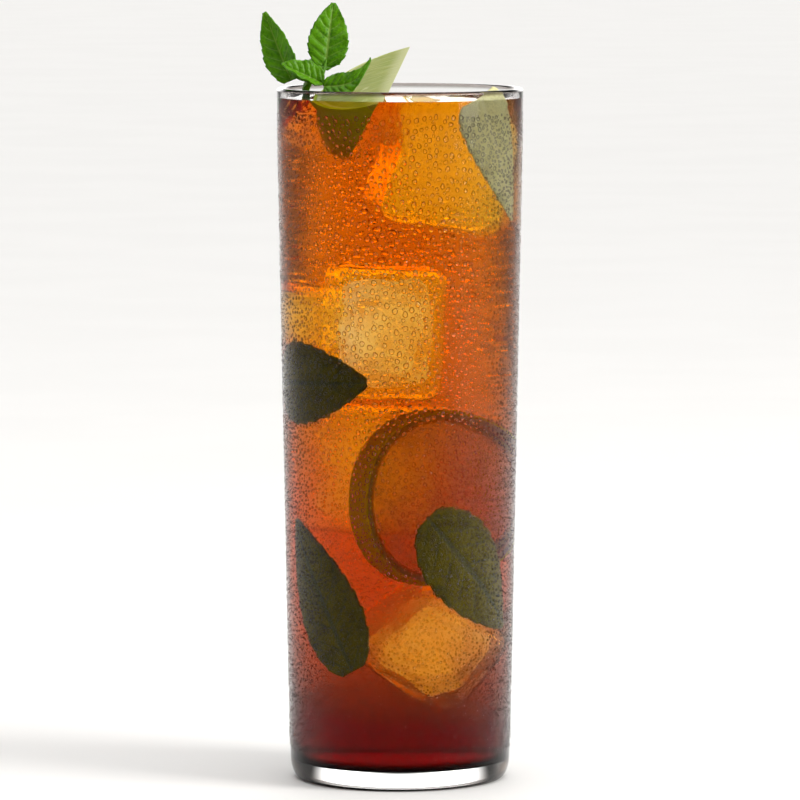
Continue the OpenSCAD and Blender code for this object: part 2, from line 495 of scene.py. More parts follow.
def misted_glass(look):
    """Clear glass whose outside carries a mist finer than its drops."""
    f = new_finish("Misted clear glass")
    where = f.place()
    x, y, z = where.split()
    lean = (RIM - look.foot) / (HEIGHT - FOOT_UP)
    outside = ((x * x + y * y) ** 0.5 - outer_radius(0)) - z * lean
    between = z.step(6 * MM, 12 * MM) * z.step(HEIGHT - 5 * MM, HEIGHT - 9 * MM)
    wet = outside.step(-0.9 * MM, -0.3 * MM) * between
    beads = f.cells(where, 2600.0)
    smears = f.noise(f.stretch(where, (1, 1, 0.25)), 90.0, 4.0)
    mist = f.bump((0.6 - beads) * wet * smears.step(0.2, 0.7), look.mist * MM, 0.6)
    waves = f.bump(f.noise(f.stretch(where, (1, 1, 0.3)), 45.0, 1.0), 0.012 * MM, 0.5, mist)
    lip = z.step(HEIGHT - 1.5 * MM, HEIGHT - 0.5 * MM)
    base = z.step(6.5 * MM, 4.5 * MM)
    along = f.facing()
    # Painted shade: darkens the glass where it is seen edge on, at the foot and along the lip, standing in
    # for the dark reflections of the surroundings
    shaded = along.step(0.5, 0.95) * 0.55 + along.step(0.15, 0.55) * base * 0.8 + lip * (smears * 0.5 + 0.5)
    values = {
        "Base Color": f.blend(shaded.least(1.0), look.tint, look.shade),
        "Roughness": wet * smears.step(0.3, 0.8) * 0.035 + 0.002,
        "Specular Tint": grey(look.gleam),
        "IOR": 1.5,
        "Transmission Weight": 1.0,
        "Normal": waves,
    }
    return f.done(f.principled(values))


# Drink


def drink_outline(sizes, look):
    """The cavity's outline, closed by a surface that climbs at the wall."""
    top = LEVEL + look.rise
    wall = inner_radius(top) + look.reach
    inwards = [wall * (1 - (i / 29) ** 0.6) for i in range(1, 29)]
    surface = [(r, LEVEL + look.rise * math.exp(-(wall - r) / look.spread)) for r in inwards]
    return [*cavity(sizes, look.reach, top), *surface, (0, LEVEL)]


def amber_liquid(look):
    """A clear liquid that reddens with depth; painted shade on its skin at the back and bottom darkens it
    towards a near black foot.
    """
    f = new_finish("Amber liquid")
    where = f.place()
    x, y, z = where.split()
    swirl = f.noise(f.stretch(where, (1, 1, 0.5)), 38.0, 2.0, 0.5, 0.6)
    level = z + (swirl - 0.5) * (16 * MM)
    # Painted shade: lighter at the top, darker towards the bottom
    upper = f.blend(level.step(60 * MM, 130 * MM), look.mid, look.high)
    shade = f.blend(level.step(12 * MM, 70 * MM), look.low, upper)
    side = (x * x + y * y).step((inner_radius(0) - 3 * MM) ** 2, (inner_radius(0) - 1 * MM) ** 2)
    # The painted shade lies on the back half of the side and on the bottom, so light from behind and below
    # is darkened while the ice in front keeps its painted glow
    skin = (side * y.step(-2 * MM, 4 * MM)).most(z.step(8 * MM, 6 * MM))
    ripple = f.bump(f.noise(where, 120.0, 1.0), 0.03 * MM, 0.4)
    values = {
        "Base Color": f.blend(skin, WHITE, shade),
        "Roughness": 0.0,
        "Specular Tint": grey(look.gleam),
        "IOR": 1.34,
        "Transmission Weight": 1.0,
        "Normal": ripple,
    }
    body = f.wire("ShaderNodeVolumeAbsorption", {}, {"Color": solid(look.passes), "Density": look.density})
    return f.done(f.principled(values), body)


# Ice: name, size, middle, turn in degrees; the first stands out of the drink

TOP_ICE_SIZE = (24, 24, 31)
TOP_ICE_TURN = (5, 14, 10)
SUNK_ICE = (
    ("middle", (24.5, 19, 33), (-3.3, -10.0, 114.2), (3, 3, 9)),
    ("left", (13, 15, 16), (-16.6, 8.5, 116.5), (8, -14, 30)),
    ("behind_wheel", (23, 17, 33), (-3.5, 12.0, 78), (-4, 5, 38)),
    ("lower", (24, 26, 25), (6.2, 0.5, 34.5), (14, 38, 24)),
)


def block(name, size, rounding, voxel):
    """A cube with melted edges, meshed evenly, at the origin."""
    deselect()
    bpy.ops.mesh.primitive_cube_add(size=1, location=(0, 0, 0), scale=size)
    piece = named(name)
    apply_place(piece)
    all_selected(piece)
    bpy.ops.mesh.bevel(offset=rounding, segments=5, profile=0.5)
    bpy.ops.object.mode_set(mode="OBJECT")
    modifier(piece, "REMESH", mode="VOXEL", voxel_size=voxel, use_smooth_shade=True)
    return piece


def hollow_out(piece, depth, scale, name):
    """Moves a piece's skin in and out in soft hollows."""
    clouds = bpy.data.textures.new(name, "CLOUDS")
    clouds.noise_scale = scale
    clouds.noise_depth = 1
    modifier(piece, "DISPLACE", texture=clouds, strength=depth, mid_level=0.62, texture_coords="LOCAL")


def tilted(middle, turn):
    """The place of a cube, from its middle and its turn in degrees."""
    return Matrix.Translation(middle) @ Euler([math.radians(a) for a in turn]).to_matrix().to_4x4()


def ice_block(name, size, middle, turn, look):
    piece = block(name, size, look.rounding, 0.85 * MM)
    put(piece, tilted(middle, turn))
    hollow_out(piece, look.melt, 7 * MM, name + " hollows")
    modifier(piece, "SMOOTH", factor=0.5, iterations=3)
    return piece


def cloudy_core(name, size, middle, turn, look):
    """Nested shells of trapped air in the middle of a cube."""
    shells = []
    for i, part in enumerate((0.8, 0.62, 0.42)):
        scaled = [part * s for s in size]
        shell = block(f"{name}_{i}", scaled, min(scaled) * 0.28, 1.5 * MM)
        put(shell, tilted(middle, turn))
        hollow_out(shell, 3.2 * MM, 5 * MM, f"{name} billows {i}")
        shells.append(shell)
    pick(*shells[1:], shells[0])
    bpy.ops.object.join()
    return named(name)


def all_ice():
    """Name, size, middle and turn of each cube, in metres and degrees."""
    low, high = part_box("ice_cube_top")
    yield "ice_cube_top_piece", [s * MM for s in TOP_ICE_SIZE], (low + high) / 2, TOP_ICE_TURN
    for name, size, middle, turn in SUNK_ICE:
        yield "ice_" + name, [s * MM for s in size], Vector(middle) * MM, turn


def clear_ice():
    f = new_finish("Clear ice")
    where = f.place()
    dents = f.bump(f.noise(where, 260.0, 3.0), 0.12 * MM, 0.5)
    values = {
        "Base Color": f.blend(f.noise(where, 60.0).step(0.35, 0.7), (0.97, 0.975, 0.98), WHITE),
        "Roughness": 0.02,
        "Specular Tint": grey(0.5),
        "IOR": 1.31,
        "Transmission Weight": 1.0,
        "Normal": f.bump(f.noise(f.stretch(where, (1, 1, 0.4)), 700.0, 2.0), 0.02 * MM, 0.4, dents),
    }
    return f.done(f.principled(values))


def trapped_air(look):
    """Milky air in the ice, thin and patchy, with a painted glow."""
    f = new_finish("Trapped air")
    where = f.place()
    patches = f.noise(where, 120.0, 4.0, 0.55, 0.6).step(0.36, 0.7)
    cover = (patches * 0.85 + 0.1) * look.haze
    white = f.principled({
        "Base Color": solid(look.cloud),
        "Roughness": 0.6,
        "Specular IOR Level": 0.0,
        # Painted light: the trapped air glows by itself, warmer in the lowest cube
        "Emission Color": f.blend(where.split()[2].step(85 * MM, 50 * MM), look.glow, look.low_glow),
        "Emission Strength": 1.0,
    })
    glow = f.wire("ShaderNodeBsdfTranslucent", {}, {"Color": solid(look.cloud)})
    milk = f.mixed(0.5, white, glow)
    clear = f.wire("ShaderNodeBsdfTransparent", {}, {})
    return f.done(f.mixed(cover, clear, milk))


# Lime

WEDGE_BEARING = -12
WEDGE_CORE = (8.5, 40, 15)
WEDGE_FACE = (-95, 28, -27)
WEDGE_SHAPE = 0.86
WEDGE_DROP = 5 * MM
WEDGE_CLEARANCE = 4.8 * MM
WHEEL_MIDDLE = (6.6, -2.4, 72.0)
WHEEL_TURN = 42
WHEEL_SEGMENTS = 10


def wedge_outline(look):
    half = look.wedge_length / 2
    first = math.asin(look.wedge_end / look.wedge_radius)
    outline = [(0, -half)]
    for i in range(33):
        a = first + (math.pi - 2 * first) * i / 32
        radius = look.wedge_radius * math.sin(a) ** WEDGE_SHAPE
        outline.append((radius, -half * math.cos(a) / math.cos(first)))
    return [*outline, (0, half)]


def wedge_place(look):
    height = HEIGHT - WEDGE_DROP
    tip = around(WEDGE_BEARING, inner_radius(height) - WEDGE_CLEARANCE, height)
    turn = turned(WEDGE_FACE, [-c for c in WEDGE_CORE])
    return Matrix.Translation(tip) @ turn @ Matrix.Translation((0, 0, -look.wedge_length / 2))


def wedge(look):
    """An eighth of a fruit: its half section is spun through the angle between the cut faces."""
    piece = draw_line("lime_wedge_piece", [(r, 0, z) for r, z in wedge_outline(look)])
    bpy.ops.mesh.edge_face_add()
    bpy.ops.mesh.spin(steps=24, angle=math.radians(-45), center=(0, 0, 0), axis=(0, 0, 1))
    close_up(piece)
    keep_grown(piece)
    put(piece, wedge_place(look))
    pick(piece)
    bpy.ops.object.shade_smooth_by_angle(angle=math.radians(40))
    return piece


def fruit_colours(f, look, depth, flesh, rind):
    """Rind, pith and flesh by how far out a point lies, from 0 at the core to 1 at the skin."""
    inner = f.blend(depth.step(0.88, 0.915), flesh, look.pith)
    return f.blend(depth.step(0.945, 0.965), inner, rind)


def wedge_finish(look):
    f = new_finish("Lime wedge")
    own = f.grown()
    x, y, z = own.split()
    radius = (x * x + y * y) ** 0.5
    shape = (1 - (z / (look.wedge_length / 2)) ** 2.0).most(0.01)
    depth = radius / (shape ** (WEDGE_SHAPE / 2) * look.wedge_radius)
    streaks = f.noise(f.stretch(own, (0.35, 0.35, 1.6)), 420.0, 4.0, 0.55, 0.3)
    pulp = f.noise(own, 210.0, 3.0)
    wet = f.blend(streaks.step(0.3, 0.7), look.juice, look.flesh)
    near_core = radius.step(4.5 * MM, 0.8 * MM)
    flesh = f.blend(near_core, f.blend(pulp.step(0.62, 0.75), wet, look.pith), look.pith)
    rind_spots = f.noise(own, 520.0, 2.0)
    base = fruit_colours(f, look, depth, flesh, look.rind)
    skin = depth.step(0.945, 0.965)
    height = f.bump(skin * f.cells(own, 900.0), 0.12 * MM, 0.6)
    pores = f.bump((1 - skin) * streaks, 0.35 * MM, 0.7, height)
    values = {
        "Base Color": f.blend(rind_spots.step(0.5, 0.8) * skin * 0.5, base, look.oil),
        "Roughness": 0.32 + pulp * 0.12,
        "Subsurface Weight": 0.25,
        "Subsurface Radius": (1.0, 1.0, 0.5),
        "Subsurface Scale": 1.5 * MM,
        "Normal": pores,
    }
    return f.done(f.principled(values))


def wheel(look):
    """A slice across a fruit, with membranes between its segments."""
    half = look.wheel_thickness / 2
    edge = look.wheel_radius - 0.6 * MM
    across = np.linspace(0, edge, 26)
    rim = arc((edge, 0), (0.6 * MM, half), -90, 90, 12)
    outline = [*[(r, -half) for r in across[:-1]], *rim, *[(r, half) for r in across[-2::-1]]]
    piece = lathe("lime_wheel", outline, 160)
    co = points_of(piece)
    radius = np.hypot(co[:, 0], co[:, 1])
    turn = np.arctan2(co[:, 1], co[:, 0]) / math.tau * WHEEL_SEGMENTS
    off = np.abs(turn - np.round(turn)) * 2
    plump = np.clip(off * radius / (5 * MM), 0, 1) ** 0.5
    inside = np.clip((0.88 * look.wheel_radius - radius) / (1.2 * MM), 0, 1)
    co[:, 2] += np.sign(co[:, 2]) * inside * (plump - 0.6) * 0.5 * MM
    move_points(piece, co)
    keep_grown(piece)
    upright = Matrix.Rotation(math.radians(WHEEL_TURN), 4, "Z") @ Matrix.Rotation(math.radians(90), 4, "X")
    put(piece, Matrix.Translation(Vector(WHEEL_MIDDLE) * MM) @ upright)
    return piece


def wheel_finish(look):
    """Flesh that lets light through, in segments, with pith and rind round them."""
    f = new_finish("Lime wheel")
    own = f.grown()
    x, y, _ = own.split()
    radius = (x * x + y * y) ** 0.5
    depth = radius / look.wheel_radius
    turn = x.maths("ARCTAN2", y, x) * (WHEEL_SEGMENTS / math.tau)
    off = abs((turn + 0.5).part() - 0.5) * radius
    membrane = off.step(0.16 * MM, 0.05 * MM)
    streaks = f.noise(own, 300.0, 3.0, 0.6, 0.5)
    flesh = f.blend(streaks.step(0.35, 0.7), look.sunk_dark, look.sunk_light)
    core = depth.step(0.1, 0.05)
    pulp = f.blend((membrane + core).least(1.0), flesh, look.pith)
    base = fruit_colours(f, look, depth, pulp, look.sunk_rind)
    soft = f.principled({
        "Base Color": base,
        "Roughness": 0.4,
        "Normal": f.bump(streaks, 0.3 * MM, 0.6),
    })
    lit = f.wire("ShaderNodeBsdfTranslucent", {}, {"Color": base})
    clear = f.wire("ShaderNodeBsdfTransparent", {}, {"Color": solid((0.9, 0.88, 0.6))})
    body = f.mixed(0.88, soft, lit)
    see_through = depth.step(0.9, 0.85) * (streaks.step(0.3, 0.8) * 0.25 + 0.7)
    return f.done(f.mixed(see_through, body, clear))


# Mint: foot from the top of the stem, direction, upper side, length, width, fold, sideways bend, curl

SPRIG_LEAVES = (
    ((1.2, 2.2, 2.2), (1.9, 2.4, 16), (0, -16, 2), 17.2, 10.8, 8, -0.01, -0.05),
    ((-7, 1.6, -1.4), (-7.4, 1, 17.6), (-6, -15, -2), 19.6, 9.6, 24, 0.02, -0.08),
    ((0.8, -2.4, -1.6), (-9.8, -1.5, 4.1), (0, -7, 7), 12.2, 8.2, 32, 0.0, 0.08),
    ((0.6, -4.2, -2.2), (12.2, -1.6, 0.2), (0, -14, 5), 12.4, 6.8, 6, 0.62, 0.04),
    ((0.2, 4.6, 1.2), (2, 12, 3.6), (0, -3, 12), 14, 8.6, 16, 0.02, -0.12),
)
# The quilted leaves are this much smaller than the smooth ones, to stay in the same room
SPRIG_LEAF_SCALE = 0.985
STEM_BEARING = (-78, -100, -112)
STEM_INSET = 9 * MM
STEM_RISE = 2.8 * MM
STEM_BOW = 1.8 * MM
STEM_CLEARANCE = 2.4 * MM
STEM_WIDTH = 2 * MM
STEM_SUNK = 8 * MM

# Leaves on the wall: name, bearing and height of the foot, direction from straight down,
# length, width, distance from the wall, power of the outline's foot
WALL_LEAVES = (
    ("mint_leaf_side_piece", 41.0, None, 25, 36, 18, 0.06, 0.25),
    ("mint_leaf_left", -90.0, 100.6, 93, 36.5, 21.5, 0.5, 0.5),
    ("mint_leaf_low_left", -25.0, 29.0, 208, 43.5, 20.5, 0.5, 0.55),
    ("mint_leaf_low_right", 13.0, 69.5, 42, 41, 23, 0.5, 0.6),
)
TIP_POWER = 0.9
TEETH = 9
TOOTH = 0.07
VEINS = 7
LEAF_LETS_THROUGH = 0.3
STALK_WIDTHS = (1.6 * MM, 1.1 * MM, 0.7 * MM)


def leaf_width(s, foot_power):
    """Half width of a leaf as a share of the most, with forward teeth."""
    peak = foot_power / (foot_power + TIP_POWER)
    plain = (s / peak) ** foot_power * ((1 - s) / (1 - peak)) ** TIP_POWER
    step = np.mod(s * TEETH, 1.0)
    return plain * (1 - TOOTH * (1 - step))


def quilting(s, v):
    """Height of the leaf between its veins, from 0 on a vein to 1."""
    phase = (s - 0.2 * np.abs(v) ** 1.2) * VEINS
    between = 1 - np.abs(2 * np.mod(phase, 1.0) - 1) ** 2.5
    midrib = 1 - np.exp(-((v / 0.13) ** 2))
    return between * midrib * (1 - 0.75 * np.abs(v) ** 3)


def leaf_grid(name):
    """A flat sheet whose own map runs from foot to tip and from edge to edge."""
    deselect()
    bpy.ops.mesh.primitive_grid_add(x_subdivisions=72, y_subdivisions=20, size=1)
    piece = named(name)
    co = points_of(piece)
    s = 0.025 + 0.955 * (co[:, 0] + 0.5)
    return piece, s, 2 * co[:, 1]


def thicken(piece, thickness):
    modifier(piece, "SOLIDIFY", thickness=thickness, offset=0.0)
    close_up(piece)
    return piece


def sprig_leaf(name, row, stem_top, look):
    foot, along, up, long, wide, fold, bend, curl = row
    piece, s, v = leaf_grid(name)
    half = wide / 2 * leaf_width(s, 0.5) * np.abs(v)
    lean = math.radians(fold)
    ruffle = 0.35 * np.sin(s * 19 + np.sign(v)) * v**4
    lift = half * math.sin(lean) + look.quilt / MM * quilting(s, v) * leaf_width(s, 0.5) + ruffle
    side = long * bend * s**4 + np.sign(v) * half * math.cos(lean)
    co = np.stack([long * s, side, long * curl * s**2 + lift], 1) * MM * SPRIG_LEAF_SCALE
    move_points(piece, co)
    thicken(piece, look.thickness)
    put(piece, Matrix.Translation(stem_top + Vector(foot) * MM) @ turned(along, up))
    return piece


def wall_leaf(row, look):
    """A leaf that follows the inside of the glass."""
    name, bearing, height, lean, long, wide, off, foot_power = row
    piece, s, v = leaf_grid(name)
    top = HEIGHT - 0.8 * MM if height is None else height * MM
    half = wide / 2 * leaf_width(s, foot_power) * v
    turn = math.radians(lean)
    across = (long * s * math.sin(turn) + half * math.cos(turn)) * MM
    z = top + (-long * s * math.cos(turn) + half * math.sin(turn)) * MM
    bulge = look.quilt * 0.7 * (1 - quilting(s, v)) * leaf_width(s, foot_power)
    sway = off * MM * (1 + np.sin(s * 5.0 + v * 2.0) * 0.6 + 1.2 * v**2)
    radius = inner_radius(z) - look.thickness / 2 - 0.03 * MM - np.maximum(bulge + sway - 0.2 * MM, 0)
    angle = math.radians(bearing) + across / inner_radius(top)
    move_points(piece, np.stack([radius * np.sin(angle), -radius * np.cos(angle), z], 1))
    return thicken(piece, look.thickness)


def stalk(name, points, widths):
    """A round stalk through the points, thinner where they say."""
    deselect()
    bpy.ops.curve.primitive_bezier_curve_add(location=(0, 0, 0))
    piece = named(name)
    line = piece.data.splines[0]
    line.bezier_points.add(len(points) - len(line.bezier_points))
    for knot, point, width in zip(line.bezier_points, points, widths):
        knot.co = point
        knot.handle_left_type = knot.handle_right_type = "AUTO"
        knot.radius = width / STEM_WIDTH
    piece.data.bevel_depth = STEM_WIDTH / 2
    piece.data.bevel_resolution = 3
    piece.data.use_fill_caps = True
    bpy.ops.object.convert(target="MESH")
    piece = bpy.context.object
    apply_place(piece)
    close_up(piece)
    return piece


def stem_points():
    reach = inner_radius(LEVEL) - STEM_CLEARANCE - STEM_WIDTH / 2
    top = around(STEM_BEARING[0], inner_radius(HEIGHT) - STEM_INSET, HEIGHT + STEM_RISE)
    return [
        top,
        around(STEM_BEARING[1], reach - 3 * MM, HEIGHT + STEM_BOW),
        around(STEM_BEARING[2], reach, LEVEL + STEM_WIDTH),
        around(STEM_BEARING[2], reach, LEVEL - STEM_SUNK),
    ]


def mint_finish(name, shades, gloss):
    """A mint leaf with sunk veins and quilted skin; light passes through it."""
    f = new_finish(name)
    own = f.wire("ShaderNodeUVMap", {}, {})
    s, t, _ = own.split()
    v = abs(t * 2 - 1)
    phase = ((s - v ** 1.2 * 0.2) * VEINS).part()
    side_vein = abs(phase * 2 - 1).step(0.78, 0.97) * v.step(1.0, 0.55)
    midrib = v.step(0.11, 0.03)
    vein = (side_vein * 0.65).most(midrib)
    where = f.place()
    fine = f.cells(where, 1500.0)
    mottle = f.noise(where, 260.0, 3.0)
    mottle_and_shade, face, ribs = shades
    # Partly random mottle, partly painted shade: the darker colour lies where the bump below is low
    skin = f.blend((fine * 0.5 + mottle * 0.7).step(0.25, 0.75), mottle_and_shade, face)
    base = f.blend(vein * 0.75, skin, ribs)
    relief = f.bump(fine + mottle * 0.5 - vein * 0.6, 0.09 * MM, 0.7)
    soft = f.principled({
        "Base Color": base,
        "Roughness": 0.3 + mottle * 0.15,
        "Specular IOR Level": gloss,
        "Normal": relief,
    })
    lit = f.wire("ShaderNodeBsdfTranslucent", {}, {"Color": f.blend(vein, face, ribs)})
    return f.done(f.mixed(LEAF_LETS_THROUGH, soft, lit))


# Dew


def bead(name, corners, rings):
    """A drop of radius 1 and height 1: a disc drawn in and pulled up ring by ring."""
    deselect()
    bpy.ops.mesh.primitive_circle_add(vertices=corners, radius=1, fill_type="NGON")
    piece = named(name)
    all_selected(piece)
    low = 0.0
    for i in range(1, rings + 1):
        turn = math.pi / 2 * i / (rings + 1)
        ratio = math.cos(turn) / math.cos(math.pi / 2 * (i - 1) / (rings + 1))
        rise = {"value": (0, 0, math.sin(turn) - low)}
        bpy.ops.mesh.extrude_region_move(TRANSFORM_OT_translate=rise)
        bpy.ops.transform.resize(value=(ratio, ratio, 1))
        low = math.sin(turn)
    bpy.ops.mesh.poke()
    bpy.ops.mesh.select_all(action="SELECT")
    bpy.ops.mesh.normals_make_consistent(inside=False)
    bpy.ops.object.mode_set(mode="OBJECT")
    co = points_of(piece)
    co[np.hypot(co[:, 0], co[:, 1]) < 1e-6, 2] = 1.0
    if rings:
        base = [i for i, c in enumerate(co) if c[2] < 1e-6]
        co[base, 2] = 0.0
    move_points(piece, co)
    return piece


# Kinds of drop: name, corners, rings, the most that there are
DEW_KINDS = (
    ("dew_large", 10, 2, 3300),
    ("dew_medium", 8, 1, 5500),
    ("dew_small", 6, 1, 7500),
    ("dew_fine", 5, 1, 9000),
)

# Rounds of scattering: biggest and smallest as shares, how far apart the drops lie, places tried
DROP_SIZES = ((1.06, 0.72, 1.2, 26000), (0.68, 0.4, 1.14, 30000), (0.36, 0.24, 1.08, 24000))


def scatter(rng, look):
    """Places of drops that don't touch, the big ones first: bearing, height and radius."""
    low, high = look.clear_foot, HEIGHT - look.clear_top
    cell = 2 * MM
    grid = {}
    kept = []
    around_mm = math.tau * 29 * MM
    for biggest, smallest, spread, tries in DROP_SIZES:
        spots = rng.random((tries, 3))
        for a, b, c in spots:
            bearing = a * math.tau - math.pi
            z = low + (high - low) * b
            middle = math.cos(bearing) ** 2
            size = 0.4 + 0.6 * middle * min(max((z - 35 * MM) / (75 * MM), 0.12), 1)
            radius = look.biggest * size * (smallest + (biggest - smallest) * c)
            u = a * around_mm
            i, j = int(u / cell), int(z / cell)
            near = (q for di in (-1, 0, 1) for dj in (-1, 0, 1) for q in grid.get((i + di, j + dj), ()))
            if all((u - p[0]) ** 2 + (z - p[1]) ** 2 > (spread * (radius + p[2])) ** 2 for p in near):
                grid.setdefault((i, j), []).append((u, z, radius))
                kept.append((bearing, z, radius))
    return np.array(kept)


def drop_height(bearing, radius, z, wanted):
    """A drop's height, kept inside the square that the rim just fits in."""
    turn = np.maximum(np.abs(np.cos(bearing)), np.abs(np.sin(bearing)))
    room = RIM / turn - outer_radius(z) - 0.01 * MM
    return np.clip(np.minimum(wanted * radius, room), 0.02 * MM, None)


def bead_glass(name, shape, drops, rng):
    """Copies one drop to all its places, each a little out of round, in one mesh."""
    co = points_of(shape)
    count, n = len(drops), len(co)
    bearing, z, radius = drops.T
    height = drop_height(bearing, radius, z, rng.uniform(0.62, 0.85, count))
    spin = rng.uniform(0, math.tau, count)[:, None]
    x = co[None, :, 0] * (1 + 0.12 * np.sin(3 * np.arctan2(co[:, 1], co[:, 0])[None, :] + spin))
    y = co[None, :, 1] * (1 + 0.12 * np.cos(2 * np.arctan2(co[:, 1], co[:, 0])[None, :] + spin))
    flat = rng.uniform(0.85, 1.05, count)[:, None]
    tall = rng.uniform(0.95, 1.2, count)[:, None]
    side = x * flat * radius[:, None]
    up = (y * tall - 0.14 * co[None, :, 2]) * radius[:, None]
    out = co[None, :, 2] * height[:, None] - 0.03 * MM - side**2 / (2 * 29 * MM) * (co[None, :, 2] < 0.5)
    level = z[:, None] + up
    distance = outer_radius(level) + out
    turn = bearing[:, None] + side / outer_radius(z)[:, None]
    places = np.stack([distance * np.sin(turn), -distance * np.cos(turn), level], 2)
    mesh = bpy.data.meshes.new(name)
    faces = [tuple(p.vertices) for p in shape.data.polygons]
    all_faces = [tuple(i + k * n for i in f) for k in range(count) for f in faces]
    mesh.from_pydata(places.reshape(-1, 3).tolist(), [], all_faces)
    smooth = [len(f) <= 4 for f in faces] * count
    mesh.polygons.foreach_set("use_smooth", smooth)
    mesh.update()
    piece = bpy.data.objects.new(name, mesh)
    bpy.context.collection.objects.link(piece)
    return piece


def water(look):
    f = new_finish("Water drops")
    where = f.place()
    # Painted shade: a dark rim where the drop is seen edge on
    edge = (f.facing() + f.noise(where, 400.0) * 0.12 - 0.06).step(0.07, 0.42) * 0.95
    values = {
        "Base Color": f.blend(edge, WHITE, look.edge),
        "Roughness": 0.0,
        "Specular Tint": grey(0.35),
        "IOR": 1.333,
        "Transmission Weight": 1.0,
        "Normal": f.bump(f.noise(where, 900.0, 1.0), 0.01 * MM, 0.3),
    }
    return f.done(f.principled(values))


# Stage


KEY_PLACE = (1.05, -0.45, 0.5)
KEY_SIZE = (0.5, 0.8)
FLOOR_RADIUS = 14.0


def floor_finish(look):
    """Pale by the glass and behind it; painted shade darkens it out to the sides and in front."""
    f = new_finish("Pale floor")
    where = f.place()
    grain = f.noise(where, 9.0, 4.0)
    x, y, _ = where.split()
    # Painted shade: the floor out at the sides and in front is darkened as though the light fell off there
    far = (abs(x) - y.most(0.0) * 0.25).step(0.35, 1.1)
    near = y.step(-0.2, -0.7)
    pale = f.blend(grain.step(0.35, 0.65), look.floor, [0.985 * c for c in look.floor])
    values = {
        "Base Color": f.blend(far.most(near), pale, [0.35 * c for c in look.floor]),
        "Roughness": 0.75,
        "Normal": f.bump(f.noise(where, 600.0, 2.0), 0.05 * MM, 0.1),
    }
    return f.done(f.principled(values))


def soft_surroundings():
    """Bright behind and above, a strip at the left, dim all round the rest."""
    world = bpy.data.worlds.new("Soft surroundings")
    bpy.context.scene.world = world
    f = Finish(world)
    x, y, z = f.wire("ShaderNodeTexCoord", {}, {}, "Generated").split()
    behind = y.step(0.7, 0.95)
    behind = behind * z.step(0.42, 0.2)
    lifted = z.step(0.03, 0.14)
    strip = x.step(-0.72, -0.95) * z.step(-0.1, 0.2)
    above = z.step(0.55, 0.95)
    strength = behind * 2.15 + 0.06 + behind * lifted * 1.6 + strip * 0.7 + above * 1.9
    shade = f.wire("ShaderNodeBackground", {}, {"Color": (1.0, 0.99, 0.975, 1.0), "Strength": strength})
    f.node("ShaderNodeOutputWorld", {}, {"Surface": shade})


def add_camera(look):
    deselect()
    place = Vector((0, -look.distance, look.eye))
    aim = Vector((0, 0, look.aim)) - place
    bpy.ops.object.camera_add(location=place, rotation=aim.to_track_quat("-Z", "Y").to_euler())
    camera = bpy.context.object
    camera.data.lens = look.lens
    camera.data.sensor_width = 36
    camera.data.clip_start = 0.05
    camera.data.clip_end = 60
    bpy.context.scene.camera = camera


def add_light(name, place, size, power, tint):
    deselect()
    place = Vector(place)
    aim = Vector((0, 0, HEIGHT / 2)) - place
    bpy.ops.object.light_add(type="AREA", location=place, rotation=aim.to_track_quat("-Z", "Y").to_euler())
    light = named(name)
    light.data.shape = "RECTANGLE"
    light.data.size, light.data.size_y = size
    light.data.energy = power
    light.data.color = tint
    light.visible_camera = False


# Operators


class MakeGlass(Operator):
    """Lathes the glass from its half outline"""

    bl_idname = "cocktail.make_glass"
    bl_label = "Make glass"

    def execute(self, context):
        sizes = context.scene.cocktail_glass
        piece = lathe("glass_piece", glass_outline(sizes))
        settle(piece, "clear_glass", misted_glass(sizes), "glass")
        return {"FINISHED"}


class AddIce(Operator):
    """Adds the cube that stands out of the drink and the sunk cubes"""

    bl_idname = "cocktail.add_ice"
    bl_label = "Add ice"

    def execute(self, context):
        look = context.scene.cocktail_ice
        skin, air = clear_ice(), trapped_air(look)
        for name, size, middle, turn in all_ice():
            piece = ice_block(name, size, middle, turn, look)
            nodes = ["ice_cube_top"] if name.startswith("ice_cube_top") else []
            settle(piece, "ice", skin, *nodes)
            settle(cloudy_core(name + "_core", size, middle, turn, look), "ice", air)
        return {"FINISHED"}


class PourDrink(Operator):
    """Fills the glass with the drink, round the ice"""

    bl_idname = "cocktail.pour_drink"
    bl_label = "Pour drink"

    def execute(self, context):
        look = context.scene.cocktail_drink
        lap = context.scene.cocktail_ice.lap
        piece = lathe("drink_piece", drink_outline(context.scene.cocktail_glass, look))
        for name, *_ in all_ice():
            pick(bpy.data.objects[name])
            bpy.ops.object.duplicate()
            cutter = named(name + "_cutter")
            all_selected(cutter)
            bpy.ops.transform.shrink_fatten(value=-lap)
            bpy.ops.object.mode_set(mode="OBJECT")
            modifier(piece, "BOOLEAN", operation="DIFFERENCE", solver="EXACT", object=cutter)
            bpy.data.objects.remove(cutter)
        settle(piece, "amber_drink", amber_liquid(look), "drink")
        return {"FINISHED"}


class CutLime(Operator):
    """Cuts the lime wedge at the rim and the wheel in the drink"""

    bl_idname = "cocktail.cut_lime"
    bl_label = "Cut lime"

    def execute(self, context):
        look = context.scene.cocktail_lime
        settle(wedge(look), "lime", wedge_finish(look), "lime_wedge")
        settle(wheel(look), "lime", wheel_finish(look))
        return {"FINISHED"}


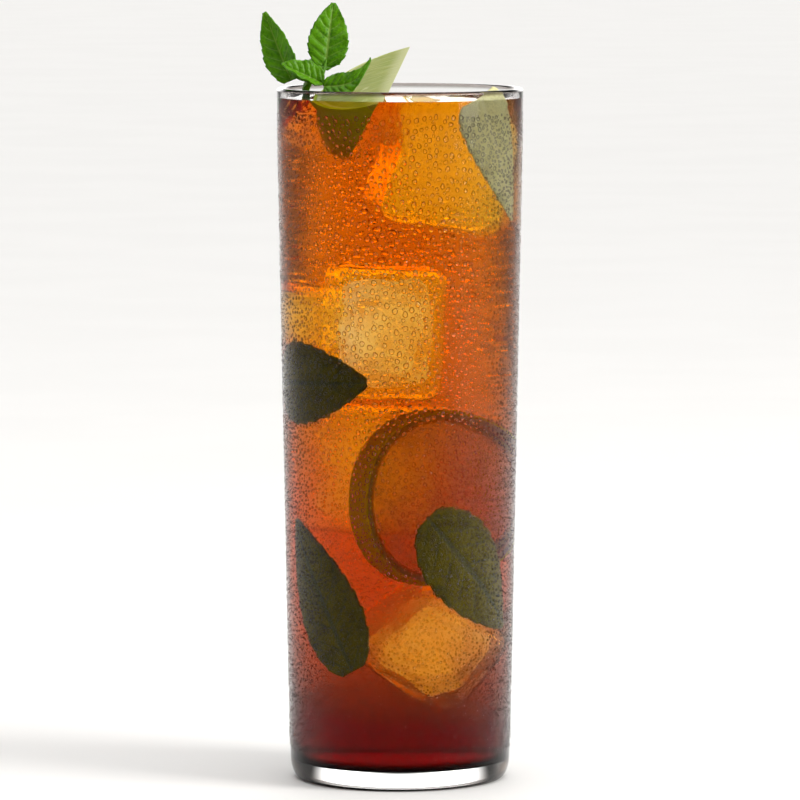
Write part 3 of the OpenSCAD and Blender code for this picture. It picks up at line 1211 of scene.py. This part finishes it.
class PlaceMint(Operator):
    """Places the sprig over the rim and the leaves on the inside of the wall"""

    bl_idname = "cocktail.place_mint"
    bl_label = "Place mint"

    def execute(self, context):
        look = context.scene.cocktail_mint
        fresh = mint_finish("Fresh mint", (look.mottle_and_shade, look.face, look.vein), 0.3)
        wet = mint_finish("Sunk mint", (look.sunk_mottle_and_shade, look.sunk_face, look.sunk_vein), 0.06)
        # The side leaf's finish has painted light: the dew's haze is painted into its pale colours
        painted_haze_mint = mint_finish("Hazy mint", (look.side_mottle_and_shade, look.side_face, look.side_vein), 0.1)
        points = stem_points()
        parts = [stalk("mint_stem", points, [STEM_WIDTH] * 4)]
        for i, row in enumerate(SPRIG_LEAVES):
            foot = points[0] + Vector(row[0]) * MM
            inside = foot + Vector(row[1]).normalized() * row[3] * MM / 8
            middle = (points[0] + foot) / 2
            parts.append(stalk(f"mint_stalk_{i}", [points[0], middle, inside], STALK_WIDTHS))
            parts.append(sprig_leaf(f"mint_sprig_leaf_{i}", row, points[0], look))
        for part in parts:
            settle(part, "mint", fresh)
        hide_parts("mint_sprig")
        for row in WALL_LEAVES:
            if row[2] is None:
                settle(wall_leaf(row, look), "mint", painted_haze_mint, "mint_leaf_side")
            else:
                settle(wall_leaf(row, look), "mint", wet)
        return {"FINISHED"}


class BeadGlass(Operator):
    """Beads the outside of the glass with dew"""

    bl_idname = "cocktail.bead_glass"
    bl_label = "Bead glass"

    def execute(self, context):
        look = context.scene.cocktail_dew
        rng = np.random.default_rng(look.seed)
        drops = scatter(rng, look)
        order = drops[np.argsort(-drops[:, 2])]
        skin = water(look)
        start = 0
        for name, corners, rings, most in DEW_KINDS:
            group = order[start : start + most]
            start += most
            if not len(group):
                raise RuntimeError(f"no room was found for {name}")
            shape = bead(name + "_drop", corners, rings)
            settle(bead_glass(name, shape, group, rng), "water", skin)
            bpy.data.objects.remove(shape)
        return {"FINISHED"}


class SetStage(Operator):
    """Sets the floor, the light and the camera"""

    bl_idname = "cocktail.set_stage"
    bl_label = "Set stage"

    def execute(self, context):
        look = context.scene.cocktail_stage
        deselect()
        bpy.ops.mesh.primitive_circle_add(vertices=96, radius=FLOOR_RADIUS, fill_type="NGON")
        floor = named("floor")
        floor.data.materials.append(floor_finish(look))
        soft_surroundings()
        add_light("key_light", KEY_PLACE, KEY_SIZE, look.key, (1.0, 0.98, 0.95))
        add_camera(look)
        scene = context.scene
        scene.view_settings.view_transform = "Standard"
        scene.cycles.max_bounces = 32
        scene.cycles.transmission_bounces = 32
        scene.cycles.transparent_max_bounces = 24
        scene.cycles.diffuse_bounces = 4
        scene.cycles.glossy_bounces = 6
        scene.cycles.use_denoising = True
        return {"FINISHED"}


class CocktailPanel(Panel):
    """Lists the steps of the cocktail and their sizes"""

    bl_idname = "VIEW3D_PT_cocktail"
    bl_label = "Iced cocktail"
    bl_space_type = "VIEW_3D"
    bl_region_type = "UI"
    bl_category = "Cocktail"

    def draw(self, context):
        for group, steps in STEPS:
            box = self.layout.box()
            settings = getattr(context.scene, group)
            for key in settings.bl_rna.properties.keys():
                if key not in {"rna_type", "name"}:
                    box.prop(settings, key)
            for step in steps:
                box.operator(step.bl_idname)


GROUPS = {
    "cocktail_glass": GlassSizes,
    "cocktail_ice": IceLook,
    "cocktail_drink": DrinkLook,
    "cocktail_lime": LimeLook,
    "cocktail_mint": MintLook,
    "cocktail_dew": DewLook,
    "cocktail_stage": StageLook,
}
STEPS = (
    ("cocktail_glass", (MakeGlass,)),
    ("cocktail_ice", (AddIce,)),
    ("cocktail_drink", (PourDrink,)),
    ("cocktail_lime", (CutLime,)),
    ("cocktail_mint", (PlaceMint,)),
    ("cocktail_dew", (BeadGlass,)),
    ("cocktail_stage", (SetStage,)),
)


def register():
    for group in GROUPS.values():
        bpy.utils.register_class(group)
    for _, steps in STEPS:
        for step in steps:
            bpy.utils.register_class(step)
    bpy.utils.register_class(CocktailPanel)
    for name, group in GROUPS.items():
        setattr(bpy.types.Scene, name, PointerProperty(type=group))


def unregister():
    for name in GROUPS:
        delattr(bpy.types.Scene, name)
    bpy.utils.unregister_class(CocktailPanel)
    for _, steps in reversed(STEPS):
        for step in steps:
            bpy.utils.unregister_class(step)
    for group in reversed(GROUPS.values()):
        bpy.utils.unregister_class(group)


def main():
    register()
    for _, steps in STEPS:
        for step in steps:
            area, name = step.bl_idname.split(".")
            getattr(getattr(bpy.ops, area), name)()


if __name__ == "__main__":
    main()
